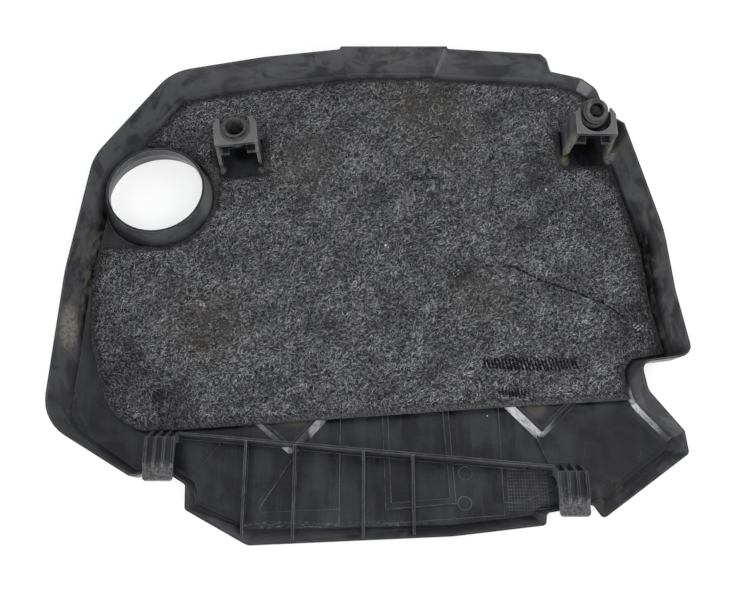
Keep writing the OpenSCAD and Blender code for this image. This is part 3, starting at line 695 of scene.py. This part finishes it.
def ripple(points, size, seed, waves=14):
    """Smooth random field of about unit height whose bumps have the given size."""
    draw = np.random.default_rng(seed)
    angles = draw.uniform(0.0, 2 * math.pi, waves)
    lengths = size * draw.uniform(0.7, 1.8, waves)
    phases = draw.uniform(0.0, 2 * math.pi, waves)
    total = np.zeros(len(points))
    for angle, length, phase in zip(angles, lengths, phases):
        along = points[:, 0] * math.cos(angle) + points[:, 1] * math.sin(angle)
        total += np.sin(2 * math.pi * along / length + phase)
    return total / math.sqrt(waves / 2)


def ripples(points, waves):
    """Sum of ripples, each given by its size, seed and height."""
    return sum(height * ripple(points, size, seed) for size, seed, height in waves)


def path_distance(points, path):
    """Distance of points from a polyline."""
    best = np.full(len(points), 1e9)
    for a, b in zip(path[:-1], path[1:]):
        run = b - a
        share = np.clip(((points - a) @ run) / (run @ run), 0.0, 1.0)
        best = np.minimum(best, np.linalg.norm(points - a - share[:, None] * run, axis=1))
    return best


def smooth(x):
    """Soft step from 0 at 0 to 1 at 1."""
    x = np.clip(x, 0.0, 1.0)
    return x * x * (3 - 2 * x)


def slit_mask(points):
    """1 inside the slits of the two embossed rows, 0 between them."""
    mask = np.zeros(len(points))
    for start, length, height, count in SLIT_ROWS:
        pitch = length / count
        u = (points[:, 0] - start[0]) / pitch
        lean = SLIT_LEAN * (points[:, 1] - start[1])
        phase = (u + lean) % 1.0
        index = np.floor(u + lean)
        reach = 0.5 * height * (0.62 + 0.38 * np.sin(math.pi * np.clip((index + 0.5) / count, 0, 1)))
        reach *= 0.92 + 0.08 * np.sin(index * 2.3)
        inner = smooth((SLIT_HALF - np.abs(phase - 0.5)) / 0.10)
        ends = smooth((reach - np.abs(points[:, 1] - start[1])) / 1.0)
        inside_row = (index >= 0) & (index < count)
        mask = np.maximum(mask, inner * ends * inside_row)
    return mask


def felt_features(points):
    """Depth of cuts, slits and dimples at points, and how much painted shade darkens them."""
    depth = np.zeros(len(points))
    # How much painted shade darkens the felt in the dimples, cuts and slits
    dark = np.zeros(len(points))
    for place, sink in DIMPLES:
        r = np.linalg.norm(points - place, axis=1)
        depth += sink * smooth(1.25 - r / (DIMPLE_R * 1.15))
        depth += 0.5 * sink * np.exp(-(r / 22.0) ** 2)
        spot = smooth(1.3 - r / (DIMPLE_R * (0.8 + 0.1 * sink)))
        dark = np.maximum(dark, min(0.68, 0.24 * sink) * spot)
    for path, sink, width in CUTS:
        d = path_distance(points, path)
        wobble = 1.0 + 0.25 * np.sin(points[:, 0] * 0.9) * np.sin(points[:, 1] * 1.1)
        line = np.exp(-(d / (width * wobble)) ** 2)
        depth += sink * line
        depth += 0.25 * sink * np.exp(-(d / (width * 5)) ** 2)
        dark = np.maximum(dark, min(1.0, 0.5 * sink) * line)
    slits = slit_mask(points)
    depth += SLIT_DEPTH * slits
    dark = np.maximum(dark, slits)
    return depth, dark


def felt_height(points, edge):
    """Height of the felt's upper face at points that lie at the distance edge from its outline."""
    waves = ripples(points, FACE_WAVES)
    roll = HEM_ROLL * np.sin(math.pi * np.clip(edge / HEM_W, 0.0, 1.0))
    rise = smooth((edge - HEM_W * 0.75) / RISE_W)
    groove = GROOVE_DEPTH * np.exp(-((edge - HEM_W) / GROOVE_W) ** 2)
    start = smooth(edge / EDGE_ROUND)
    low = FELT_BASE + RIM_T + (HEM_T - RIM_T) * start + roll - groove
    depth, _ = felt_features(points)
    level = low + (FELT_FACE - low) * rise + waves * smooth(edge / 10.0) * rise
    level = level + 0.12 * ripple(points, 5.0, 14) * start
    return np.maximum(level - depth, FELT_BASE + FLOOR_T)


def felt_outline():
    """Outlines of the pad, the outer one first."""
    loops = low_loops("felt_pad", FELT_BASE)
    return sorted(loops, key=len, reverse=True)


def ring_inwards(loop, d):
    """Points of an outline moved by d to the side where the felt lies."""
    after, before = np.roll(loop, -1, axis=0), np.roll(loop, 1, axis=0)
    run = after - before
    normal = np.column_stack([-run[:, 1], run[:, 0]])
    normal /= np.maximum(np.linalg.norm(normal, axis=1), 1e-9)[:, None]
    return loop + normal * d


def felt_points(loops):
    """Points of the felt's mesh: outlines, rings beside them, an even grid and fine patches."""
    edge = np.vstack(loops)
    low, high = edge.min(0), edge.max(0)
    grid = []
    for k, y in enumerate(np.arange(low[1], high[1], GRID_STEP * math.sqrt(3) / 2)):
        row = np.arange(low[0] + (k % 2) * GRID_STEP / 2, high[0], GRID_STEP)
        grid.append(np.column_stack([row, np.full(len(row), y)]))
    grid = np.vstack(grid)
    grid = grid + rng.uniform(-GRID_SHAKE, GRID_SHAKE, grid.shape)
    rings = [(d, ring_inwards(loop, d)) for loop in loops for d in RING_DEPTHS]
    rings = [ring[inside(ring, loops) & (nearest(ring, edge) > 0.8 * d)] for d, ring in rings]
    fine = []
    for place, _ in DIMPLES:
        span = np.arange(-PATCH_R, PATCH_R + 0.01, PATCH_STEP)
        x, y = np.meshgrid(span, span)
        keep = np.hypot(x, y) < PATCH_R
        fine.append(np.column_stack([x[keep], y[keep]]) + place)
    for start, length, height, count in SLIT_ROWS:
        xs = np.arange(-1.0, length + 2.0, length / count / 4)
        ys = np.arange(-height / 2 - 1.0, height / 2 + 1.0, 1.0)
        x, y = np.meshgrid(xs, ys)
        fine.append(np.column_stack([x.ravel(), y.ravel()]) + start)
    for path, _, width in CUTS:
        for a, b in zip(path[:-1], path[1:]):
            steps = max(2, int(np.linalg.norm(b - a) / 0.9))
            run = (b - a) / np.linalg.norm(b - a)
            side = np.array([-run[1], run[0]])
            for offset in (-1.6, -0.8, 0.0, 0.8, 1.6):
                t = np.linspace(0, 1, steps)[:, None]
                fine.append(a + (b - a) * t + side * offset * width)
    fine = np.vstack(fine)
    fine = fine[inside(fine, loops)]
    special = np.vstack(rings + [fine])
    grid = grid[inside(grid, loops)]
    grid = grid[nearest(grid, edge) > RING_DEPTHS[-1] + 0.6]
    grid = grid[nearest(grid, fine) > 0.9]
    return np.vstack([special, grid])


def build_felt():
    """The felt pad as one closed mesh; gives back its outlines."""
    loops = [resampled(loop, EDGE_STEP) for loop in felt_outline()]
    edge = np.vstack(loops)
    free = felt_points(loops)
    flat = np.vstack([edge, free])
    links, start = [], 0
    for loop in loops:
        links += [(start + k, start + (k + 1) % len(loop)) for k in range(len(loop))]
        start += len(loop)
    verts, _, faces, _, _, _ = delaunay_2d_cdt([Vector(p) for p in flat], links, [], 0, 0.02)
    plan = np.array([tuple(v) for v in verts])
    faces = np.array([f for f in faces if len(f) == 3])
    middle = plan[faces].mean(1)
    faces = faces[inside(middle, loops)]
    used = np.unique(faces)
    renumber = np.full(len(plan), -1)
    renumber[used] = np.arange(len(used))
    plan, faces = plan[used], renumber[faces]
    distance = nearest(plan, np.vstack([resampled(loop, 0.5) for loop in loops]))
    distance[distance < 0.02] = 0.0
    height = felt_height(plan, distance)
    _, dark = felt_features(plan)
    # Painted shade in the groove behind the hem
    dark = np.maximum(dark, 0.75 * np.exp(-((distance - HEM_W) / 0.7) ** 2))
    top = np.column_stack([plan, height])
    bottom = np.column_stack([plan, np.full(len(plan), FELT_BASE)])
    count = len(plan)
    ordered = {}
    for a, b, c in faces:
        for p, q in ((a, b), (b, c), (c, a)):
            if (q, p) in ordered:
                ordered.pop((q, p))
            else:
                ordered[(p, q)] = True
    rim = np.array(list(ordered))
    wall = np.vstack([
        np.column_stack([rim[:, 1], rim[:, 0], rim[:, 0] + count]),
        np.column_stack([rim[:, 1], rim[:, 0] + count, rim[:, 1] + count])
    ])
    back = faces[:, ::-1] + count
    piece = mesh_piece("felt", np.vstack([top, bottom]), np.vstack([faces, wall, back]), FELT)
    point_value(piece, "dark", np.concatenate([dark, np.zeros(count)]))
    point_value(piece, "stain", np.concatenate([stain_at(plan), np.zeros(count)]))
    point_value(piece, "hem", np.concatenate([distance < HEM_W - 0.6, np.zeros(count)]))
    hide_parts("felt_pad")
    return loops


def stain_at(points):
    """How brown the felt is at points."""
    total = np.zeros(len(points))
    for place, radius in STAINS:
        total = np.maximum(total, smooth(1.4 - np.linalg.norm(points - place, axis=1) / radius))
    return total * smooth(0.5 + 0.5 * ripple(points, 14.0, 31))


def shade_at(points):
    """Share of light fibres at points: fewer in the shadowed places."""
    shade = np.ones(len(points))
    for place, radius in SHADOWS:
        shade -= 0.55 * smooth(1.3 - np.linalg.norm(points - place, axis=1) / radius)
    shade += ripples(points, SHADE_WAVES)
    return np.clip(shade, 0.25, 1.4)


class HeightMap:
    """The felt's upper face on an even grid, read between its points."""

    def __init__(self, loops, step=0.8):
        edge = np.vstack([resampled(loop, 0.6) for loop in loops])
        self.low = edge.min(0) - 3.0
        self.step = step
        size = np.ceil((edge.max(0) + 3.0 - self.low) / step).astype(int) + 1
        x, y = np.meshgrid(np.arange(size[0]), np.arange(size[1]), indexing="ij")
        points = np.column_stack([x.ravel(), y.ravel()]) * step + self.low
        distance = nearest(points, edge)
        self.size = size
        self.inside = inside(points, loops).reshape(size)
        self.distance = distance.reshape(size)
        self.height = felt_height(points, distance).reshape(size)
        _, dark = felt_features(points)
        groove = np.exp(-((distance - HEM_W) / 1.1) ** 2)
        self.bare = np.maximum(dark, 0.9 * groove).reshape(size)

    def read(self, table, points):
        u = (points - self.low) / self.step
        k = np.clip(np.floor(u).astype(int), 0, self.size - 2)
        f = np.clip(u - k, 0.0, 1.0)
        i, j = k[..., 0], k[..., 1]
        a = table[i, j] * (1 - f[..., 0]) + table[i + 1, j] * f[..., 0]
        b = table[i, j + 1] * (1 - f[..., 0]) + table[i + 1, j + 1] * f[..., 0]
        return a * (1 - f[..., 1]) + b * f[..., 1]


FIBRES_A_PIECE = 30000
FIBRE_PIECES = 4
# Straight stretches of a fibre, how high its middle stands and the angle along which most lie
FIBRE_STEPS = 2
FIBRE_LIFT = (0.05, 0.55)
GRAIN_ANGLE = 42.0
# Ranges of length and width, the most by which a few are longer, and the spread of the angle in
# degrees and of the curl in radians
FIBRE_LENGTH = (1.0, 2.8)
FIBRE_WIDTH = (0.14, 0.26)
FIBRE_EXTRA = 4.0
ANGLE_SPREAD = 31.0
CURL_SPREAD = 0.45
# Tones at the rim, on the hem, and what a very light fibre gains; the rim's width
RIM_TONES = (0.12, 0.55)
HEM_TONES = (0.02, 0.22)
STRAY_GAIN = (0.2, 0.6)
RIM_W = 1.5
# Shares of very light fibres, of those that may hang over the edge and of those kept on the hem
STRAY_SHARE = 0.03
HANGING_SHARE = 0.05
HEM_SHARE = 0.35


def build_fibres(loops):
    """Short fibres that lie on the felt, as thin ribbons that bend along its surface."""
    table = HeightMap(loops)
    edge = np.vstack(loops)
    low, high = edge.min(0), edge.max(0)
    for piece_no in range(FIBRE_PIECES):
        starts = np.empty((0, 2))
        while len(starts) < FIBRES_A_PIECE:
            tries = rng.uniform(low, high, (FIBRES_A_PIECE * 2, 2))
            ok = table.read(table.inside.astype(float), tries) > 0.99
            starts = np.vstack([starts, tries[ok]])
        starts = starts[:FIBRES_A_PIECE]
        count = len(starts)
        spread = rng.normal(0.0, ANGLE_SPREAD, count) + 12.0 * ripple(starts, 24.0, 51)
        angle = np.radians(GRAIN_ANGLE + spread)
        hem = smooth((table.read(table.distance, starts) - 2.0) / 6.0)
        length = rng.uniform(*FIBRE_LENGTH, count) * (0.6 + 0.4 * hem)
        length = length + rng.uniform(0.0, 1.0, count) ** 4 * FIBRE_EXTRA * hem
        width = rng.uniform(*FIBRE_WIDTH, count)
        curl = rng.normal(0.0, CURL_SPREAD, count)
        lift = rng.uniform(*FIBRE_LIFT, count) * (0.3 + 0.7 * hem)
        tone = np.clip(1.5 * rng.beta(0.42, 2.7, count) * shade_at(starts) ** 1.5, 0.0, 1.0)
        border = table.read(table.distance, starts)
        rolled = border < HEM_W - 0.7
        rim_tone, hem_tone = rng.uniform(*RIM_TONES, count), rng.uniform(*HEM_TONES, count)
        rolled_tone = np.where(border < RIM_W, rim_tone, hem_tone)
        tone = np.where(rolled, rolled_tone, tone)
        stray = (rng.uniform(0, 1, count) < STRAY_SHARE) & ~rolled
        tone = np.where(stray, np.clip(tone + rng.uniform(*STRAY_GAIN, count), 0, 1), tone)
        rings = []
        here = starts.copy()
        for k in range(FIBRE_STEPS + 1):
            share = k / FIBRE_STEPS
            heading = angle + curl * (share - 0.5)
            run = np.column_stack([np.cos(heading), np.sin(heading)])
            if k:
                here = here + run * (length / FIBRE_STEPS)[:, None]
            side = np.column_stack([-run[:, 1], run[:, 0]])
            taper = 0.35 + 0.65 * math.sin(math.pi * (0.1 + 0.8 * share))
            z = table.read(table.height, here) + lift * math.sin(math.pi * (0.08 + 0.84 * share)) + 0.04
            for sign in (-0.5, 0.5):
                p = here + side * (sign * width * taper)[:, None]
                rings.append(np.column_stack([p, z]))
        out = table.read(table.inside.astype(float), here) < 0.5
        bare = np.max([table.read(table.bare, p) for p in (starts, 0.5 * (starts + here), here)], axis=0)
        keep = (~out | (rng.uniform(0, 1, count) < HANGING_SHARE)) & (bare < rng.uniform(0.15, 0.6, count))
        keep &= ~rolled | (rng.uniform(0, 1, count) < HEM_SHARE)
        points = np.stack(rings, axis=1)[keep].reshape(-1, 3)
        per = 2 * (FIBRE_STEPS + 1)
        offset = np.arange(keep.sum())[:, None] * per
        quads = np.vstack([
            offset + np.array([2 * k, 2 * k + 1, 2 * k + 3, 2 * k + 2]) for k in range(FIBRE_STEPS)
        ])
        piece = mesh_piece(f"felt_fibres_{piece_no + 1}", points, quads, FIBRE)
        point_value(piece, "tone", np.repeat(tone[keep], per))
        point_value(piece, "stain", np.repeat(stain_at(starts)[keep], per))


# Small details that sit on the surfaces

def surface_tree():
    """Search tree over the faces of the moulded cover, in the part's frame."""
    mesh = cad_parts["cover_shell"].data
    return BVHTree.FromPolygons([v.co for v in mesh.vertices], [p.vertices[:] for p in mesh.polygons])


SHELL_TREE = surface_tree()


def drop(point):
    """Height in millimetres of the moulded surface below a point of the plan."""
    above = Vector((point[0] * MM, point[1] * MM, 0.1))
    place, _, _, _ = SHELL_TREE.ray_cast(above, Vector((0.0, 0.0, -1.0)))
    return place.z / MM if place is not None else 0.0


def ridge(points, faces, start, end, width, height, step=2.0):
    """Adds a low ridge with a sloped top between two points of the plan to lists of points and faces."""
    run = end - start
    length = np.linalg.norm(run)
    side = np.array([-run[1], run[0]]) / length
    count = max(1, int(round(length / step)))
    for k in range(count + 1):
        middle = start + run * k / count
        z = drop(middle)
        first = len(points)
        for offset, up in ((-0.5, -0.05), (-0.22, height), (0.22, height), (0.5, -0.05)):
            p = middle + side * offset * width
            points.append((p[0], p[1], z + up))
        if k:
            for j in range(3):
                faces.append((first - 4 + j, first - 3 + j, first + 1 + j, first + j))


# Blank table on the floor: two corners, columns, rows, width of its lines, height of those
# that run across the cover and of those that run along it
TABLE_LOW, TABLE_HIGH = at(103.7, -168.3), at(133.1, -137.4)
TABLE_COLUMNS = 13
TABLE_ROWS = 12
TABLE_LINE_W = 0.55
COLUMN_LINE_H = 0.16
ROW_LINE_H = 0.17
# Low lines of the mould: the fold on the left, the crease beside the V and those on the flanges
FLOOR_LINE_W = 1.1
FLOOR_LINE_H = 0.22
FLOOR_PATHS = [
    [(-57.7, -126.7), (-72, -147), (-88.3, -169.2)],
    [(-112.5, -115.4), (-124, -130), (-135.1, -145.5)],
    [(206, -123.7), (203.2, -132), (185.4, -147.6)],
    [(-228.8, -42), (-229.9, -76.1), (-225, -95.4), (-209.8, -119.8), (-196, -132.1)],
]


def build_blank_grid():
    """Moulded blank table of small squares on the floor."""
    points, faces = [], []
    low, high = TABLE_LOW, TABLE_HIGH
    for k in range(TABLE_COLUMNS + 1):
        x = low[0] + (high[0] - low[0]) * k / TABLE_COLUMNS
        ridge(points, faces, np.array([x, low[1]]), np.array([x, high[1]]), TABLE_LINE_W, COLUMN_LINE_H)
    for k in range(TABLE_ROWS + 1):
        y = low[1] + (high[1] - low[1]) * k / TABLE_ROWS
        ridge(points, faces, np.array([low[0], y]), np.array([high[0], y]), TABLE_LINE_W, ROW_LINE_H)
    mesh_piece("blank_grid", points, faces, LINES, flat=True)


def build_floor_lines():
    """Low moulded lines of the floor and the flanges."""
    points, faces = [], []
    for path in FLOOR_PATHS:
        for a, b in zip(path[:-1], path[1:]):
            ridge(points, faces, at(*a), at(*b), FLOOR_LINE_W, FLOOR_LINE_H)
    mesh_piece("floor_lines", points, faces, PLASTIC)


# Bars of a weld in each direction, their spacing and the turn of their rows in degrees
WELD_BARS = 3
WELD_PITCH = 2.5
WELD_TURN = 38.0
# Foot and top of a bar: half size and height over the dimple's floor
WELD_LEVELS = ((0.95, -0.4), (0.6, 0.55))


def build_welds():
    """Cross-hatched pads that the welding tool left in the felt's dimples."""
    points, faces = [], []
    cos, sin = math.cos(math.radians(WELD_TURN)), math.sin(math.radians(WELD_TURN))
    for place, sink in DIMPLES:
        floor_z = FELT_FACE - 1.5 * sink
        for i in range(WELD_BARS):
            for j in range(WELD_BARS):
                u = (i - (WELD_BARS - 1) / 2) * WELD_PITCH
                v = (j - (WELD_BARS - 1) / 2) * WELD_PITCH
                x = place[0] + u * cos - v * sin
                y = place[1] + u * sin + v * cos
                first = len(points)
                for half, up in WELD_LEVELS:
                    for a, b in ((-1, -1), (1, -1), (1, 1), (-1, 1)):
                        du, dv = a * half * 1.1, b * half * 0.75
                        points.append((x + du * cos - dv * sin, y + du * sin + dv * cos, floor_z + up))
                faces.append((first + 4, first + 5, first + 6, first + 7))
                for k in range(4):
                    n = (k + 1) % 4
                    faces.append((first + k, first + n, first + 4 + n, first + 4 + k))
    mesh_piece("felt_welds", points, faces, WELD, flat=True)


# Place on the drawing and radius of each speck of lint, and whether it lies on the felt
LINT_SPECKS = [
    (150.5, 103.0, 1.5, True),
    (13.3, 49.5, 1.2, True),
    (15.5, 47.5, 0.7, True),
    (91.4, -94.6, 0.9, False),
]
LINT_CORNERS = 6


def build_lint():
    """White lint on the felt and one speck on the floor."""
    points, faces = [], []
    for x, y, size, on_felt in LINT_SPECKS:
        p = at(x, y)
        z = FELT_TOP - 0.1 if on_felt else drop(p)
        first = len(points)
        angles = np.linspace(0.0, 2 * math.pi, LINT_CORNERS + 1)[:-1]
        radii = size * rng.uniform(0.5, 1.0, LINT_CORNERS)
        for up, share in ((-0.5, 1.0), (0.35, 0.55)):
            for angle, radius in zip(angles, radii):
                reach = share * radius
                points.append((p[0] + reach * math.cos(angle), p[1] + reach * math.sin(angle), z + up))
        top = first + LINT_CORNERS
        for k in range(LINT_CORNERS):
            n = (k + 1) % LINT_CORNERS
            faces.append((first + k, first + n, top + n, top + k))
        faces.append((top, top + 1, top + 2, top + 3))
        faces.append((top, top + 3, top + 4, top + 5))
    mesh_piece("felt_lint", points, faces, LINT)


# Light: an even world, a large soft light above, a low strip that draws the glossy facets, and a
# fill from the right. Name, place and size in metres and power in watts; each faces the part
LIGHTS = [
    ("overhead", (0.15, -1.10, 1.6), (1.8, 1.0), 17.0),
    ("left_strip", (-1.25, -0.91, 0.38), (0.7, 0.34), 15.0),
    ("right_fill", (1.5, 0.1, 0.9), (0.9, 1.2), 12.0),
]
WHITE = (1.0, 1.0, 1.0, 1.0)
WORLD_LIGHT = (0.95, 0.97, 1.0, 1.0)
WORLD_STRENGTH = 0.55
# The floor's own grey, the grey and the glow with which it shows white, and its half size in metres
FLOOR_GREY = (0.93, 0.93, 0.93, 1.0)
SHOWN_GREY = (0.45, 0.45, 0.45, 1.0)
SHOWN_GLOW = 0.62
FLOOR_HALF = 3.0
FLOOR_GAP = 0.0002


def area_light(name, place, size, power):
    """Rectangular soft light that faces the part's origin."""
    data = bpy.data.lights.new(name, "AREA")
    data.shape = "RECTANGLE"
    data.size, data.size_y = size
    data.energy = power
    light = bpy.data.objects.new(name, data)
    light.location = place
    light.rotation_euler = (-Vector(place)).to_track_quat("-Z", "Y").to_euler()
    bpy.context.scene.collection.objects.link(light)


def split_by_ray(tree, lit, shown, target):
    """Sends shown to the rays that see it directly or by reflection, and lit to all the others."""
    path = tree.nodes.new("ShaderNodeLightPath")
    seen = path.outputs["Is Camera Ray"]
    for other in ("Is Glossy Ray", "Is Transmission Ray"):
        either = tree.nodes.new("ShaderNodeMath")
        either.operation = "MAXIMUM"
        tree.links.new(seen, either.inputs[0])
        tree.links.new(path.outputs[other], either.inputs[1])
        seen = either.outputs[0]
    mix = tree.nodes.new("ShaderNodeMixShader")
    tree.links.new(seen, mix.inputs["Fac"])
    tree.links.new(lit.outputs[0], mix.inputs[1])
    tree.links.new(shown.outputs[0], mix.inputs[2])
    tree.links.new(mix.outputs[0], target)


def studio():
    """White world that lights the part more softly than it shows, and the soft lights."""
    world = bpy.data.worlds.new("studio")
    bpy.context.scene.world = world
    world.use_nodes = True
    tree = world.node_tree
    tree.nodes.clear()
    out = tree.nodes.new("ShaderNodeOutputWorld")
    backgrounds = []
    for colour, strength in ((WORLD_LIGHT, WORLD_STRENGTH), (WHITE, 1.0)):
        background = tree.nodes.new("ShaderNodeBackground")
        background.inputs["Color"].default_value = colour
        background.inputs["Strength"].default_value = strength
        backgrounds.append(background)
    split_by_ray(tree, *backgrounds, out.inputs["Surface"])
    for light in LIGHTS:
        area_light(*light)


def floor():
    """Pale floor just below the part, which keeps the part's shadow."""
    mesh = bpy.data.meshes.new("floor")
    level = cad_box[0].z - FLOOR_GAP
    corners = [(x * FLOOR_HALF, y * FLOOR_HALF, level) for x, y in ((-1, -1), (1, -1), (1, 1), (-1, 1))]
    mesh.from_pydata(corners, [], [(0, 1, 2, 3)])
    s = Shader("pale_floor")
    s.finish(Base_Color=FLOOR_GREY, Roughness=0.9, Specular_IOR_Level=0.1)
    shown = s.tree.nodes.new("ShaderNodeBsdfPrincipled")
    s.set(shown, "Base Color", SHOWN_GREY)
    s.set(shown, "Roughness", 0.9)
    s.set(shown, "Specular IOR Level", 0.1)
    s.set(shown, "Emission Color", WHITE)
    s.set(shown, "Emission Strength", SHOWN_GLOW)
    split_by_ray(s.tree, s.bsdf, shown, s.output.inputs["Surface"])
    mesh.materials.append(s.material)
    ground = bpy.data.objects.new("floor", mesh)
    bpy.context.scene.collection.objects.link(ground)


studio()
floor()
dress_node("cover_shell", PLASTIC, 0.5)
dress_node("grommet_left", RUBBER, 0.35)
dress_node("grommet_right", RUBBER, 0.35)
felt_loops = build_felt()
build_fibres(felt_loops)
build_welds()
build_lint()
build_blank_grid()
build_floor_lines()
